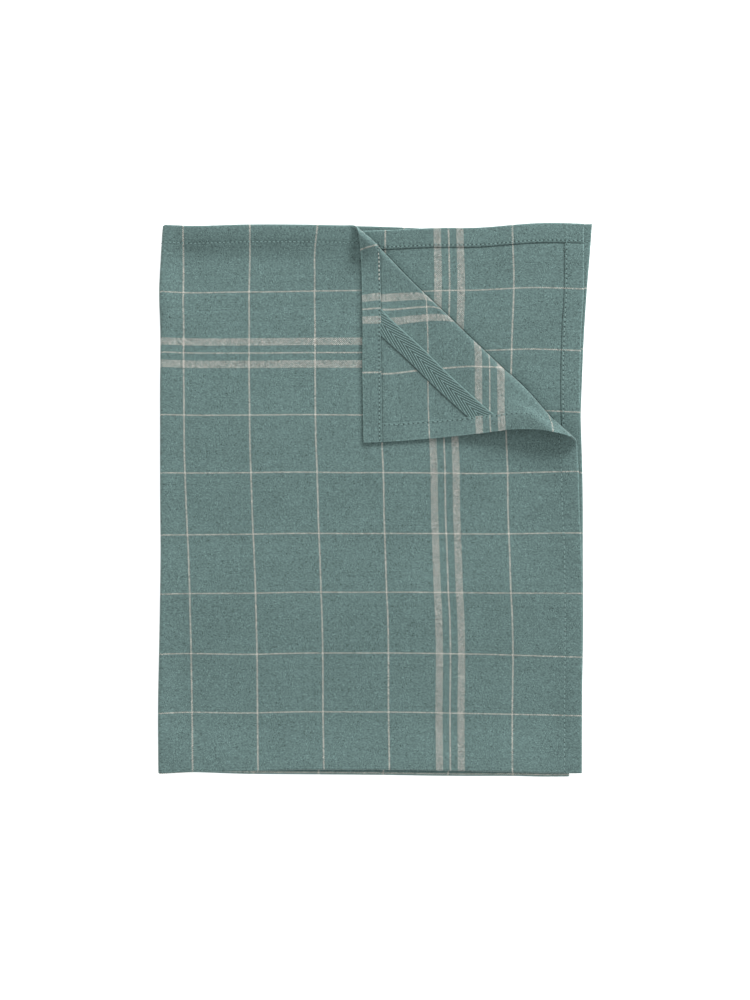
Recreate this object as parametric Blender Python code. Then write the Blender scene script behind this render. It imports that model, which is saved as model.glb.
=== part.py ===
"""Tea towel folded in four, one corner turned back over its hanging loop.

The cloth is one flat blank of even thickness.  Its blank coordinates are u across and v along:
u runs from the far side hem (negative) over the side fold (0) to the near side hem, and v from the
far end hem over the end fold (0) to the near end hem.  The layers are, from the top: top (u, v both
positive), second (v negative), third (u, v both negative) and under (u negative).
Metres, +Z up, laid flat; origin at the middle of the footprint, on the surface it rests on.
"""
import math
from collections import namedtuple

import bmesh
import bpy
from mathutils import Vector

MM = 0.001

# Cloth and hems
CLOTH_WIDTH = 500 * MM
CLOTH_LENGTH = 650 * MM
CLOTH_THICK = 1.0 * MM
HEM_WIDTH = 11.5 * MM
HEM_STEP = 0.3 * MM
HEM_RAMP = 0.4 * MM
GAP = 0.3 * MM

# Distances between the middles of neighbouring layers, and the radii of the two folds
HEMMED_PITCH = CLOTH_THICK + 2 * HEM_STEP + GAP
PLAIN_PITCH = CLOTH_THICK + GAP
END_RADIUS = HEMMED_PITCH / 2
SIDE_RADIUS = END_RADIUS + PLAIN_PITCH / 2
END_ARC = math.pi * END_RADIUS / 2
SIDE_ARC = math.pi * SIDE_RADIUS / 2
HALF_WIDTH = CLOTH_WIDTH / 2
HALF_LENGTH = CLOTH_LENGTH / 2
SPAN_X = SIDE_RADIUS + HALF_WIDTH - SIDE_ARC + END_RADIUS + CLOTH_THICK / 2
SPAN_Y = END_RADIUS + HALF_LENGTH - END_ARC + CLOTH_THICK / 2
MIDDLE_Z = SIDE_RADIUS + END_RADIUS + CLOTH_THICK / 2
TOP_Z = MIDDLE_Z + SIDE_RADIUS + END_RADIUS

# How the upright edges of the folded towel wander, in mm, from its end fold (at 0) to its hems
# (at 1): the side fold from LEFT_X, and the side hems of each layer from RIGHT_X.
LEFT_X = -128 * MM
RIGHT_X = 122 * MM
Side = namedtuple("Side", "at left top second under")
SIDES = (
    Side(0.00, -0.6, 0.6, 0.7, -6.8),
    Side(0.12, -0.8, 0.7, 0.7, -5.7),
    Side(0.25, 0.0, 0.9, 1.4, -4.4),
    Side(0.40, 0.7, 0.5, 1.3, -2.6),
    Side(0.48, 0.5, -0.8, 1.3, -1.6),
    Side(0.55, 0.4, -1.5, 1.0, -0.8),
    Side(0.61, 0.4, -2.6, 0.4, -0.2),
    Side(0.70, 0.4, -2.8, -0.3, 0.7),
    Side(0.80, 0.6, -2.8, 0.4, 2.1),
    Side(0.88, -0.1, -2.8, 1.9, 3.8),
    Side(0.95, 1.0, -2.8, 1.9, 5.7),
    Side(1.00, 2.0, -2.8, 1.9, 6.9),
)

# How the level edges wander, in mm, from the side fold (at 0) to the side hems (at 1): the two end
# folds from LOW_Y, and the end hems of each layer from HIGH_Y.
LOW_Y = -162 * MM
HIGH_Y = 163 * MM
End = namedtuple("End", "at upper_fold lower_fold top second under")
ENDS = (
    End(0.00, -0.7, -0.8, 0.2, -2.0, -1.4),
    End(0.08, 0.4, 0.1, -0.5, -2.0, -1.4),
    End(0.20, 0.9, -0.8, 0.3, -2.0, -1.2),
    End(0.33, 1.9, -1.1, 0.3, -2.6, -0.9),
    End(0.45, 1.9, -1.3, -0.2, -3.5, -0.4),
    End(0.55, 1.8, -1.5, 0.0, -3.2, -1.1),
    End(0.65, 1.5, -1.9, 0.0, -1.9, -2.2),
    End(0.75, 1.0, -2.1, 0.0, -1.4, -1.6),
    End(0.87, 0.3, -2.1, 0.2, 1.0, -0.6),
    End(0.93, 0.0, -2.5, 0.3, 1.6, -0.1),
    End(1.00, -0.3, -2.4, 0.4, 0.9, 0.4),
)

# Turned corner: the cloth rolls over a line that starts at ROLL_START on the end hem and runs
# down to the side hem.  Per station along it, in mm: radius of the roll, sideways sag of its edge,
# length over which the corner comes down to lie flat, and length of cloth taken up on the way.
ROLL_START = Vector((-13.1 * MM, 162.5 * MM))
ROLL_DIR = Vector((0.719, -0.695)).normalized()
ROLL_OUT = Vector((-ROLL_DIR.y, ROLL_DIR.x))
ROLL_LENGTH = 185 * MM
Roll = namedtuple("Roll", "at radius sag run take")
ROLLS = (
    Roll(0.00, 2.2, 0.0, 10.0, 0.4),
    Roll(0.10, 2.4, -1.4, 11.0, 0.4),
    Roll(0.30, 2.8, -0.8, 14.0, 0.6),
    Roll(0.55, 3.4, 0.0, 18.0, 1.6),
    Roll(0.80, 4.0, -0.4, 24.0, 5.0),
    Roll(1.00, 4.4, -1.5, 28.0, 4.5),
)
CORNER_REACH = 160 * MM

# Hanging loop: a flat tape across the turned corner, its ends caught at the inner edges of the two
# hems, at these distances from the corner
TAPE_WIDTH = 10 * MM
TAPE_THICK = 1.0 * MM
TAPE_GAP = 0.35 * MM
TAPE_ON_END_HEM = 70 * MM
TAPE_ON_SIDE_HEM = 64 * MM
TAPE_OVERRUN = 8 * MM
TAPE_STEP = 4 * MM

# Soft unevenness: bumps that lift the layers above the lowest one, heights in mm at the top
Bump = namedtuple("Bump", "x y reach height")
BUMPS = (
    Bump(-95, 150, 34, 0.5),
    Bump(-60, 118, 40, 0.4),
    Bump(-112, 20, 30, 0.4),
    Bump(-40, 10, 48, 0.5),
    Bump(42, -38, 42, 0.4),
    Bump(96, 6, 34, 0.6),
    Bump(-70, -78, 46, 0.5),
    Bump(30, -118, 44, 0.4),
    Bump(104, -108, 30, 0.5),
    Bump(78, 138, 34, 0.5),
)

# Mesh rows
PLAIN_STEP = 19 * MM
FOLD_CUTS = 8
ROLL_CUTS = 10
LAY_CUTS = (2.5, 5, 8, 11, 15, 19, 24, 30, 38)
SNAP = 0.02 * MM


def read(table, column, at):
    """Smooth value of a named column of a table at a place along it."""
    at = min(max(at, table[0].at), table[-1].at)
    last = len(table) - 1
    i = max(k for k in range(last) if table[k].at <= at)

    def slope(k):
        low, high = table[max(k - 1, 0)], table[min(k + 1, last)]
        return (getattr(high, column) - getattr(low, column)) / (high.at - low.at)

    span = table[i + 1].at - table[i].at
    f = (at - table[i].at) / span
    start, end = getattr(table[i], column), getattr(table[i + 1], column)
    value = start * (1 + 2 * f) * (1 - f) ** 2 + end * f * f * (3 - 2 * f)
    value += span * f * (1 - f) * (slope(i) * (1 - f) - slope(i + 1) * f)
    return value * MM


def ease(f):
    """Soft step from 0 to 1."""
    f = min(max(f, 0.0), 1.0)
    return f * f * (3 - 2 * f)


def u_turn(along, offset, radius, arc):
    """Carry a place over a half-round fold: distance in from the fold, height and turn."""
    if along >= arc:
        return radius + along - arc, radius + offset, 0.0
    if along <= -arc:
        return radius - along - arc, -(radius + offset), math.pi
    turn = math.pi / 2 * (1 - along / arc)
    return radius - (radius + offset) * math.sin(turn), (radius + offset) * math.cos(turn), turn


def lift(x, y, z):
    """Soft unevenness above the surface the towel rests on."""
    rise = sum(
        b.height * MM * math.exp(-((x - b.x * MM) ** 2 + (y - b.y * MM) ** 2) / (b.reach * MM) ** 2)
        for b in BUMPS
    )
    return z * (1 + rise / TOP_Z)


def roll_place(x, y):
    """Distance of a place along the roll's line and in from it."""
    away = Vector((x, y)) - ROLL_START
    return away.dot(ROLL_DIR), -away.dot(ROLL_OUT)


def turned_height(along, past):
    """Height of the turned corner's middle above the top layer's, a distance past the roll."""
    radius = read(ROLLS, "radius", along / ROLL_LENGTH)
    run = read(ROLLS, "run", along / ROLL_LENGTH)
    return PLAIN_PITCH + (2 * radius - PLAIN_PITCH) * (1 - ease(past / run))


def turn_corner(x, y, w):
    """Roll the top layer's corner back over itself."""
    along, inward = roll_place(x, y)
    radius = read(ROLLS, "radius", along / ROLL_LENGTH)
    sag = read(ROLLS, "sag", along / ROLL_LENGTH)
    run = read(ROLLS, "run", along / ROLL_LENGTH)
    take = read(ROLLS, "take", along / ROLL_LENGTH)
    past = radius + sag - inward
    if past <= 0:
        return x, y, TOP_Z + w
    turn = past / radius
    if turn < math.pi:
        inward = radius + sag - (radius - w) * math.sin(turn)
        z = TOP_Z + radius - (radius - w) * math.cos(turn)
    else:
        past -= math.pi * radius
        inward = radius + sag + past - take * ease(2 * past / run)
        z = TOP_Z + turned_height(along, inward - radius - sag) - w
    spot = ROLL_START + ROLL_DIR * along - ROLL_OUT * inward
    return spot.x, spot.y, z


def lay(u, v, w):
    """Place on the laid towel of a place on the flat blank; w is above its middle."""
    far_y, pair, end_turn = u_turn(v, w, END_RADIUS, END_ARC)
    far_x, z, side_turn = u_turn(u, pair, SIDE_RADIUS, SIDE_ARC)
    outer = (1 + math.cos(end_turn)) / 2
    upper = (1 + math.cos(side_turn)) / 2
    s = (far_x + END_RADIUS + CLOTH_THICK / 2) / SPAN_X
    t = (far_y + CLOTH_THICK / 2) / SPAN_Y

    def blend(table, at):
        above = outer * read(table, "top", at) + (1 - outer) * read(table, "second", at)
        return upper * above + (1 - upper) * read(table, "under", at)

    left = LEFT_X + read(SIDES, "left", t)
    right = RIGHT_X + blend(SIDES, t)
    low = LOW_Y + upper * read(ENDS, "upper_fold", s) + (1 - upper) * read(ENDS, "lower_fold", s)
    high = HIGH_Y + blend(ENDS, s)
    x = left + s * (right - left)
    y = low + t * (high - low)
    z += MIDDLE_Z
    if u > SIDE_ARC and v > END_ARC:
        x, y, z = turn_corner(x, y, w)
    return Vector((x, y, lift(x, y, z)))


def stations(half, arc):
    """Cut lines over one direction of the blank: hems, plain rows and the fold."""
    inner = half - HEM_WIDTH
    rows = [inner, inner - HEM_RAMP]
    plain = inner - HEM_RAMP - arc
    count = round(plain / PLAIN_STEP)
    rows += [arc + plain * k / count for k in range(1, count)]
    rows += [-r for r in rows]
    return rows + [arc * (2 * k / FOLD_CUTS - 1) for k in range(FOLD_CUTS + 1)]


def corner_lines():
    """Cut lines over the turned corner, as two places each on the blank."""
    turns = [math.pi * k / ROLL_CUTS for k in range(ROLL_CUTS + 1)]
    lines = []
    for turn, past in [(t, 0) for t in turns] + [(math.pi, c * MM) for c in LAY_CUTS]:
        ends = []
        for at in (0.0, 1.0):
            radius = read(ROLLS, "radius", at)
            sag = read(ROLLS, "sag", at)
            inward = radius + sag - radius * turn - past
            spot = ROLL_START + ROLL_DIR * ROLL_LENGTH * at - ROLL_OUT * inward
            right = RIGHT_X + read(SIDES, "top", 1 - at / 2)
            ends.append(
                Vector((HALF_WIDTH - (right - spot.x), HALF_LENGTH - (HIGH_Y - spot.y), 0))
            )
        lines.append(ends)
    return lines


def cut(mesh, spot, normal, keep=None):
    """Cut a mesh, or the faces of it that keep allows, by a plane."""
    faces = [f for f in mesh.faces if keep is None or keep(f.calc_center_median())]
    edges = {e for f in faces for e in f.edges}
    verts = {v for f in faces for v in f.verts}
    bmesh.ops.bisect_plane(
        mesh, geom=faces + list(edges) + list(verts), dist=SNAP, plane_co=spot, plane_no=normal
    )


def in_corner(spot):
    """Whether a place on the blank is near the corner that is turned."""
    return spot.x > HALF_WIDTH - CORNER_REACH and spot.y > HALF_LENGTH - CORNER_REACH


def blank(width, length, thick):
    """Flat slab centred on the origin."""
    mesh = bmesh.new()
    bmesh.ops.create_cube(mesh, size=1)
    bmesh.ops.scale(mesh, verts=mesh.verts, vec=(width, length, thick))
    return mesh


def hem_fill(u, v):
    """How far a place on the blank is inside a hem, from 0 to 1."""
    edge = min(HALF_WIDTH - abs(u), HALF_LENGTH - abs(v))
    return min(max((HEM_WIDTH + HEM_RAMP - edge) / HEM_RAMP, 0.0), 1.0)


def make_object(name, mesh, material, collection):
    """Finish a mesh as a named object with its own material."""
    bmesh.ops.triangulate(mesh, faces=mesh.faces)
    bmesh.ops.recalc_face_normals(mesh, faces=mesh.faces)
    data = bpy.data.meshes.new(name)
    mesh.to_mesh(data)
    mesh.free()
    data.materials.append(material)
    part = bpy.data.objects.new(name, data)
    collection.objects.link(part)
    return part


def fabric(name, colour, roughness):
    """Plain matt fabric material."""
    material = bpy.data.materials.new(name)
    material.use_nodes = True
    shader = material.node_tree.nodes["Principled BSDF"]
    shader.inputs["Base Color"].default_value = (*colour, 1.0)
    shader.inputs["Roughness"].default_value = roughness
    shader.inputs["Metallic"].default_value = 0.0
    return material


def make_towel(collection, material):
    """The cloth: one blank, hemmed all round, folded twice and its corner turned."""
    mesh = blank(CLOTH_WIDTH, CLOTH_LENGTH, CLOTH_THICK)
    for u in stations(HALF_WIDTH, SIDE_ARC):
        cut(mesh, (u, 0, 0), (1, 0, 0))
    for v in stations(HALF_LENGTH, END_ARC):
        cut(mesh, (0, v, 0), (0, 1, 0))
    for start, end in corner_lines():
        run = end - start
        cut(mesh, start, (run.y, -run.x, 0), in_corner)
    for vert in mesh.verts:
        u, v, w = vert.co
        if w < 0:
            w -= HEM_STEP * hem_fill(u, v)
        vert.co = lay(u, v, w)
    return make_object("towel", mesh, material, collection)


def caught(from_side, from_end):
    """Level place of a spot on the turned corner, by its distances from the two hemmed edges."""
    spot = lay(HALF_WIDTH - from_side, HALF_LENGTH - from_end, 0)
    return Vector((spot.x, spot.y))


def make_loop(collection, material):
    """The hanging loop: a tape on the turned corner, its ends cut along the hems."""
    hem = HEM_WIDTH + HEM_RAMP + GAP
    start = caught(TAPE_ON_END_HEM, hem)
    end = caught(hem, TAPE_ON_SIDE_HEM)
    ahead = (end - start).normalized()
    aside = Vector((-ahead.y, ahead.x))
    length = (end - start).length + 2 * TAPE_OVERRUN
    mesh = blank(length, TAPE_WIDTH, TAPE_THICK)
    count = round(length / TAPE_STEP)
    for k in range(1, count):
        cut(mesh, (length * (k / count - 0.5), 0, 0), (1, 0, 0))
    cut(mesh, (0, 0, 0), (0, 1, 0))
    for vert in mesh.verts:
        vert.co.xy = (start + end) / 2 + ahead * vert.co.x + aside * vert.co.y
    for spot, other in (
        (start, caught(TAPE_ON_END_HEM + TAPE_WIDTH, hem)),
        (caught(hem, TAPE_ON_SIDE_HEM + TAPE_WIDTH), end),
    ):
        trim = (other - spot).to_3d()
        edge = bmesh.ops.bisect_plane(
            mesh,
            geom=list(mesh.verts) + list(mesh.edges) + list(mesh.faces),
            dist=SNAP,
            plane_co=spot.to_3d(),
            plane_no=(-trim.y, trim.x, 0),
            clear_outer=True,
        )["geom_cut"]
        bmesh.ops.contextual_create(
            mesh, geom=[g for g in edge if isinstance(g, bmesh.types.BMEdge)]
        )
    rest = CLOTH_THICK / 2 + TAPE_GAP + TAPE_THICK / 2
    for vert in mesh.verts:
        x, y, w = vert.co
        along, inward = roll_place(x, y)
        at = along / ROLL_LENGTH
        past = inward - read(ROLLS, "radius", at) - read(ROLLS, "sag", at)
        z = TOP_Z + turned_height(along, past) + rest + w
        vert.co.z = lift(x, y, z)
    return make_object("hanging_loop", mesh, material, collection)


def centre(parts):
    """Move the towel so that its footprint is centred on the origin."""
    spots = [v.co for p in parts for v in p.data.vertices]
    mid_x = (min(s.x for s in spots) + max(s.x for s in spots)) / 2
    mid_y = (min(s.y for s in spots) + max(s.y for s in spots)) / 2
    for spot in spots:
        spot.x -= mid_x
        spot.y -= mid_y


def main():
    """Clear the scene and build the towel."""
    for old in list(bpy.data.objects):
        bpy.data.objects.remove(old)
    collection = bpy.data.collections.new("tea_towel")
    bpy.context.scene.collection.children.link(collection)
    woven = fabric("woven_cotton", (0.138, 0.216, 0.209), 0.9)
    tape = fabric("herringbone_tape", (0.115, 0.184, 0.178), 0.88)
    centre([make_towel(collection, woven), make_loop(collection, tape)])


main()
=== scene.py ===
"""Looks of the folded tea towel: finely folded cloth, hanging loop, sewing, light and camera."""
import math
from collections import namedtuple

import bpy
import numpy as np
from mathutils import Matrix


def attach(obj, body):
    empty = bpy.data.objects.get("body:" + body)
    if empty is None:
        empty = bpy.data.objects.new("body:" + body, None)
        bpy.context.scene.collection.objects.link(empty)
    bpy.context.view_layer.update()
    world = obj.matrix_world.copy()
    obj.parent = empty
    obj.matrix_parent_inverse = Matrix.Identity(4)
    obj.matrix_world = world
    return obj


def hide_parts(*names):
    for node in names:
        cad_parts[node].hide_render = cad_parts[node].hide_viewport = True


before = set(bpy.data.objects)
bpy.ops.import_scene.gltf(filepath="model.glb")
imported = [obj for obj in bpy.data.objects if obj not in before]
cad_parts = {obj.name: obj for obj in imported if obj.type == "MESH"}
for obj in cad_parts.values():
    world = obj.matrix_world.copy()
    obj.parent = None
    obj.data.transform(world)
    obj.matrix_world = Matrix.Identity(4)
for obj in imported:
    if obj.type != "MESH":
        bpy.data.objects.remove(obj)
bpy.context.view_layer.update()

MM = 0.001

# ---------------------------------------------------------------------------------------------
# Camera: straight above, as in the photograph, at 0.594 mm a pixel on the cloth, in a picture
# 1000 pixels tall

PIXEL = 0.594 * MM
TALL = 1000
LENS = 100
SENSOR = 36
CLOTH_TOP = 6 * MM

camera_data = bpy.data.cameras.new("camera")
camera_data.lens = LENS
camera_data.sensor_width = SENSOR
camera = bpy.data.objects.new("camera", camera_data)
camera.location = (0, 0, PIXEL * TALL * LENS / SENSOR + CLOTH_TOP)
bpy.context.scene.collection.objects.link(camera)
bpy.context.scene.camera = camera

# ---------------------------------------------------------------------------------------------
# The cloth, and its folds, which lie close to those of the solids

CLOTH_WIDTH = 500 * MM
CLOTH_LENGTH = 650 * MM
CLOTH_THICK = 0.5 * MM
HEMMED_PITCH = 1.9 * MM
PLAIN_PITCH = 1.3 * MM
END_RADIUS = HEMMED_PITCH / 2
SIDE_RADIUS = END_RADIUS + PLAIN_PITCH / 2
END_ARC = math.pi * END_RADIUS / 2
SIDE_ARC = math.pi * SIDE_RADIUS / 2
HALF_WIDTH = CLOTH_WIDTH / 2
HALF_LENGTH = CLOTH_LENGTH / 2
SPAN_X = SIDE_RADIUS + HALF_WIDTH - SIDE_ARC + END_RADIUS + CLOTH_THICK / 2
SPAN_Y = END_RADIUS + HALF_LENGTH - END_ARC + CLOTH_THICK / 2
UNDER_SEWING = 0.2 * MM
MIDDLE_Z = SIDE_RADIUS + END_RADIUS + CLOTH_THICK / 2 + UNDER_SEWING
TOP_Z = MIDDLE_Z + SIDE_RADIUS + END_RADIUS

# Hems: how far they stand out from the reverse, and how much further where two cross; the furrow
# beside their inner edge; and what their sewing, STITCH_IN from the cloth's edge, presses in
HEM_WIDTH = 11.6 * MM
HEM_STEP = 0.48 * MM
CORNER_STEP = 0.18 * MM
HEM_FALL = 0.25 * MM
GROOVE = 0.12 * MM
GROOVE_REACH = 0.22 * MM
CREVICE_OUT = 0.2 * MM
EDGE_ROUND = 0.55 * MM
STITCH_IN = 10.3 * MM
PRESSED_SHARE = 0.3
PRESSED_REACH = 0.8 * MM
TROUGH = 0.14 * MM
TROUGH_REACH = 0.9 * MM

# From SEAM_BEND on, across the cloth, the turned corner's end seam bends inwards and runs back
# out, and it is bent in SEAM_BEND_SOON times as fast
SEAM_BEND = 110 * MM
SEAM_BEND_RUN = 125 * MM
SEAM_BEND_IN, SEAM_BEND_OUT = 0.7 * MM, 1.1 * MM
SEAM_BEND_SOON = 6

# Upright edges, from the end fold (0) to the end hems (1): the left one, in mm from LEFT_X, and
# the right ones of the top, second and lower layers, in mm from RIGHT_X
LEFT_X = -128.4 * MM
RIGHT_X = 122.4 * MM
Side = namedtuple("Side", "at left top second under")
SIDES = (
    Side(0.00, -0.6, 0.6, 0.7, -6.8),
    Side(0.12, -0.8, 0.7, 0.7, -5.7),
    Side(0.25, 0.0, 0.9, 1.4, -4.4),
    Side(0.40, 0.7, 0.5, 1.3, -2.6),
    Side(0.48, 0.5, -0.8, 1.3, -1.6),
    Side(0.55, 0.4, -1.5, 1.0, -0.8),
    Side(0.61, 0.4, -2.6, 0.4, -0.2),
    Side(0.70, 0.4, -2.8, -0.3, 0.7),
    Side(0.80, 0.6, -2.8, 0.4, 2.1),
    Side(0.88, -0.1, -2.8, 1.9, 3.8),
    Side(0.95, 1.0, -2.8, 1.9, 5.7),
    Side(1.00, 2.0, -2.8, 1.9, 6.9),
)

# Level edges, from the side fold (0) to the side hems (1): the folds of the upper and the lower
# pair, in mm from LOW_Y, and the ends of the top, second and lower layers, in mm from HIGH_Y
LOW_Y = -162.3 * MM
HIGH_Y = 163.5 * MM
End = namedtuple("End", "at upper_fold lower_fold top second under")
ENDS = (
    End(0.00, -0.7, -0.8, 0.2, -2.0, -1.4),
    End(0.08, 0.4, 0.1, -0.5, -2.0, -1.4),
    End(0.20, 0.9, -0.8, 0.3, -2.0, -1.2),
    End(0.33, 1.9, -1.1, 0.3, -2.6, -0.9),
    End(0.45, 1.9, -1.3, -0.2, -3.5, -0.4),
    End(0.55, 1.8, -1.5, 0.0, -2.7, -1.1),
    End(0.65, 1.5, -1.9, 0.0, -1.6, -2.2),
    End(0.75, 1.0, -2.1, 0.0, -1.4, -1.6),
    End(0.87, 0.3, -2.1, 0.2, 1.0, -0.6),
    End(0.93, 0.0, -2.5, 0.3, 1.4, 0.3),
    End(1.00, -0.3, -2.4, 0.4, 0.9, 0.9),
)

# The turned corner's roll, along its line, in mm: its radius, how far its line bows, how far the
# turned cloth lands from it, how far it takes to come down, how far the turned cloth is drawn up
# the towel, or down it below 0, and how high its free edge curls
ROLL_START = np.array([-13.1, 162.5]) * MM
ROLL_DIR = np.array([0.719, -0.695]) / math.hypot(0.719, 0.695)
ROLL_OUT = np.array([-ROLL_DIR[1], ROLL_DIR[0]])
ROLL_LENGTH = 185 * MM
Roll = namedtuple("Roll", "at radius bow land run take curl")
ROLLS = (
    Roll(0.00, 2.4, -0.6, -5.5, 16.0, -0.6, 0.0),
    Roll(0.10, 2.0, -1.7, -7.0, 18.0, 0.4, 0.0),
    Roll(0.24, 1.15, -0.9, -6.3, 22.0, 0.5, 0.0),
    Roll(0.33, 1.0, -0.8, -5.2, 26.0, 0.6, 0.0),
    Roll(0.42, 1.0, -1.1, -4.8, 30.0, 1.0, 0.0),
    Roll(0.55, 1.15, -1.1, -4.1, 34.0, 1.6, 0.0),
    Roll(0.66, 1.5, -1.3, -4.5, 34.0, 2.8, 0.2),
    Roll(0.72, 2.0, -1.9, -4.9, 34.0, 3.8, 1.5),
    Roll(0.78, 2.3, -1.8, -5.2, 33.0, 5.3, 3.5),
    Roll(0.84, 2.5, -0.7, -5.9, 32.0, 6.6, 4.8),
    Roll(0.90, 2.6, 0.0, -6.15, 30.0, 5.6, 4.6),
    Roll(1.00, 3.0, -0.3, -7.4, 28.0, 4.6, 2.0),
)
CURL_REACH = 34 * MM
CURL_START = 8 * MM
SETTLE_RUN = 4 * MM
# The top layer lifts where its side edge meets the roll
LIP, LIP_X, LIP_Y, LIP_ACROSS, LIP_ALONG = (n * MM for n in (2.0, 119, 32, 9, 26))
# The layer that the roll uncovers is measured from it as far as ROLL_ENDS along it, and all other
# cloth counts as FAR
ROLL_ENDS = 178 * MM
FAR = 50 * MM

# Stations evenly across the towel, from the side fold to the side hems
Across = namedtuple("Across", "at fold inner middle outer hem")

# How far the upper layer lies below its height at the hems and folds, in mm, by rows from the
# end fold (0) to the end hems (1), and how far in from each edge it takes to come down
SAGS = (
    Across(0.000, 2.2, 2.3, 2.2, 1.9, 1.6),
    Across(0.120, 2.9, 2.8, 2.6, 2.6, 2.6),
    Across(0.220, 2.1, 2.2, 2.1, 2.0, 1.9),
    Across(0.330, 1.0, 1.2, 1.3, 1.2, 0.9),
    Across(0.460, 1.5, 2.1, 2.1, 1.7, 1.2),
    Across(0.545, 1.2, 1.1, 1.1, 1.2, 0.9),
    Across(0.620, 1.5, 1.6, 1.5, 1.2, 0.8),
    Across(0.700, 1.7, 1.8, 1.6, 0.9, 0.5),
    Across(0.800, 2.0, 2.0, 1.6, 0.6, 0.4),
    Across(0.900, 3.6, 3.4, 1.8, 0.5, 0.3),
    Across(1.000, 4.4, 3.9, 1.2, 0.4, 0.2),
)
SLOPE_LEFT, SLOPE_RIGHT, SLOPE_LOW, SLOPE_HIGH = (n * MM for n in (16, 22, 32, 21))
FLAT_HIGH = 1 * MM

# Soft ridges and troughs, in mm, with their angle in degrees
Crease = namedtuple("Crease", "x y along across angle height")
CREASES = (
    Crease(-8, 158, 10, 9, 80, 0.95),
    Crease(-10.5, 95, 62, 2.2, 91, -1.1),
    Crease(97, -2, 16, 2.2, 40, 0.42),
    Crease(108, 4, 12, 2.0, 55, 0.34),
    Crease(-86, 63, 12, 2.5, 35, 0.2),
    Crease(57, -154, 12, 3.0, 50, 0.3),
    Crease(-25, -15, 60, 12, -3, 0.35),
    Crease(-20, -55, 80, 22, 0, 0.3),
    Crease(30, -74, 30, 4.0, -20, 0.12),
    Crease(84, -92, 26, 3.5, 62, 0.15),
)

# Where the side fold lies on the cloth: its distance from the near side edge, in mm, from the
# end fold (0) to the end hems (1)
Lie = namedtuple("Lie", "at fold")
LIES = (
    Lie(0.00, 253.4),
    Lie(0.07, 252.9),
    Lie(0.20, 252.0),
    Lie(0.33, 250.6),
    Lie(0.46, 248.6),
    Lie(0.63, 247.2),
    Lie(0.79, 246.5),
    Lie(1.00, 245.1),
)

# How the woven lines wander on each layer, in mm, by the same rows and stations: first those
# that run up the towel, then those that run across it
TOP_UPRIGHT = (
    Across(0.02, -0.35, -0.15, 0.5, 0.5, 0.3),
    Across(0.11, 0.0, 0.1, 0.35, 0.6, 0.6),
    Across(0.20, -0.35, 0.0, 0.3, 0.85, 0.8),
    Across(0.29, -0.6, -0.35, 0.0, 0.4, 0.3),
    Across(0.33, -0.6, -0.45, -0.5, -0.3, -0.3),
    Across(0.42, -0.5, -0.6, -0.6, -0.55, -0.8),
    Across(0.50, -0.5, -0.4, 0.0, -0.1, -0.4),
    Across(0.60, -0.6, -0.5, 0.05, 0.5, 0.0),
    Across(0.68, -0.3, -0.4, 0.0, 0.0, 0.0),
    Across(0.77, -0.4, -0.55, 0.0, -1.2, -0.6),
    Across(0.86, 0.4, 0.35, 0.0, -0.3, -0.3),
    Across(0.90, 0.65, 0.65, 0.0, 0.6, 0.3),
    Across(0.95, 0.0, 0.6, -0.6, 1.9, 1.3),
    Across(1.00, -0.6, 0.2, 2.4, 0.6, 0.2),
)
TOP_LEVEL = (
    Across(0.00, 1.7, 0.1, 0.1, 0.0, 0.0),
    Across(0.11, 1.7, 0.2, 0.2, 0.0, 0.0),
    Across(0.215, 1.0, -0.6, -0.25, -0.3, -1.0),
    Across(0.33, 0.8, 0.1, 0.3, 0.5, 0.9),
    Across(0.435, 0.0, -0.55, -0.4, -0.2, 0.9),
    Across(0.545, 1.05, 0.3, 0.2, 0.0, 1.5),
    Across(0.655, -0.25, -1.25, -1.0, 0.0, 1.7),
    Across(0.765, 1.05, -0.1, 0.5, -0.3, 1.8),
    Across(0.875, 0.55, 0.1, 1.3, 0.3, 1.0),
    Across(1.00, 0.5, 0.1, 1.0, 0.0, 0.0),
)
SECOND_UPRIGHT = (
    Across(0.60, 0.0, 0.0, 0.3, 1.4, 1.1),
    Across(0.90, 0.0, 0.0, 0.4, 1.5, 1.1),
    Across(1.00, 0.0, 0.0, 0.0, 0.4, 0.0),
)
SECOND_LEVEL = (
    Across(0.66, 0.0, 0.0, 0.0, 0.0, 1.8),
    Across(0.77, 0.0, 0.0, 0.0, -0.2, 1.1),
    Across(0.88, 0.0, 0.0, -0.1, -0.85, 0.4),
)
# How far the lower pair's woven lines are shifted, and how far the lines that run up the towel
# slant over the turned corner's hem, up to its inner edge
UNDER_SHIFT = 0.45 * MM
HEM_SLANT = 1.0 * MM
HEM_EDGE = 11.5 * MM

# ---------------------------------------------------------------------------------------------
# The hanging loop: a tape across the turned corner, between the hems

# It thins to TAPE_EDGE_SHARE at its long edges, over TAPE_ROUND, and to nothing at its ends, which
# are tucked under the hems, over TAPE_TUCK_RUN
TAPE_WIDTH = 11.6 * MM
TAPE_THICK = 0.6 * MM
TAPE_LIFT = 0.1 * MM
TAPE_CLEAR = 0.02 * MM
TAPE_ROUND = 0.5 * MM
TAPE_EDGE_SHARE = 0.4
TAPE_TUCK = 2.5 * MM
TAPE_TUCK_RUN = 2.2 * MM
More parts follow.
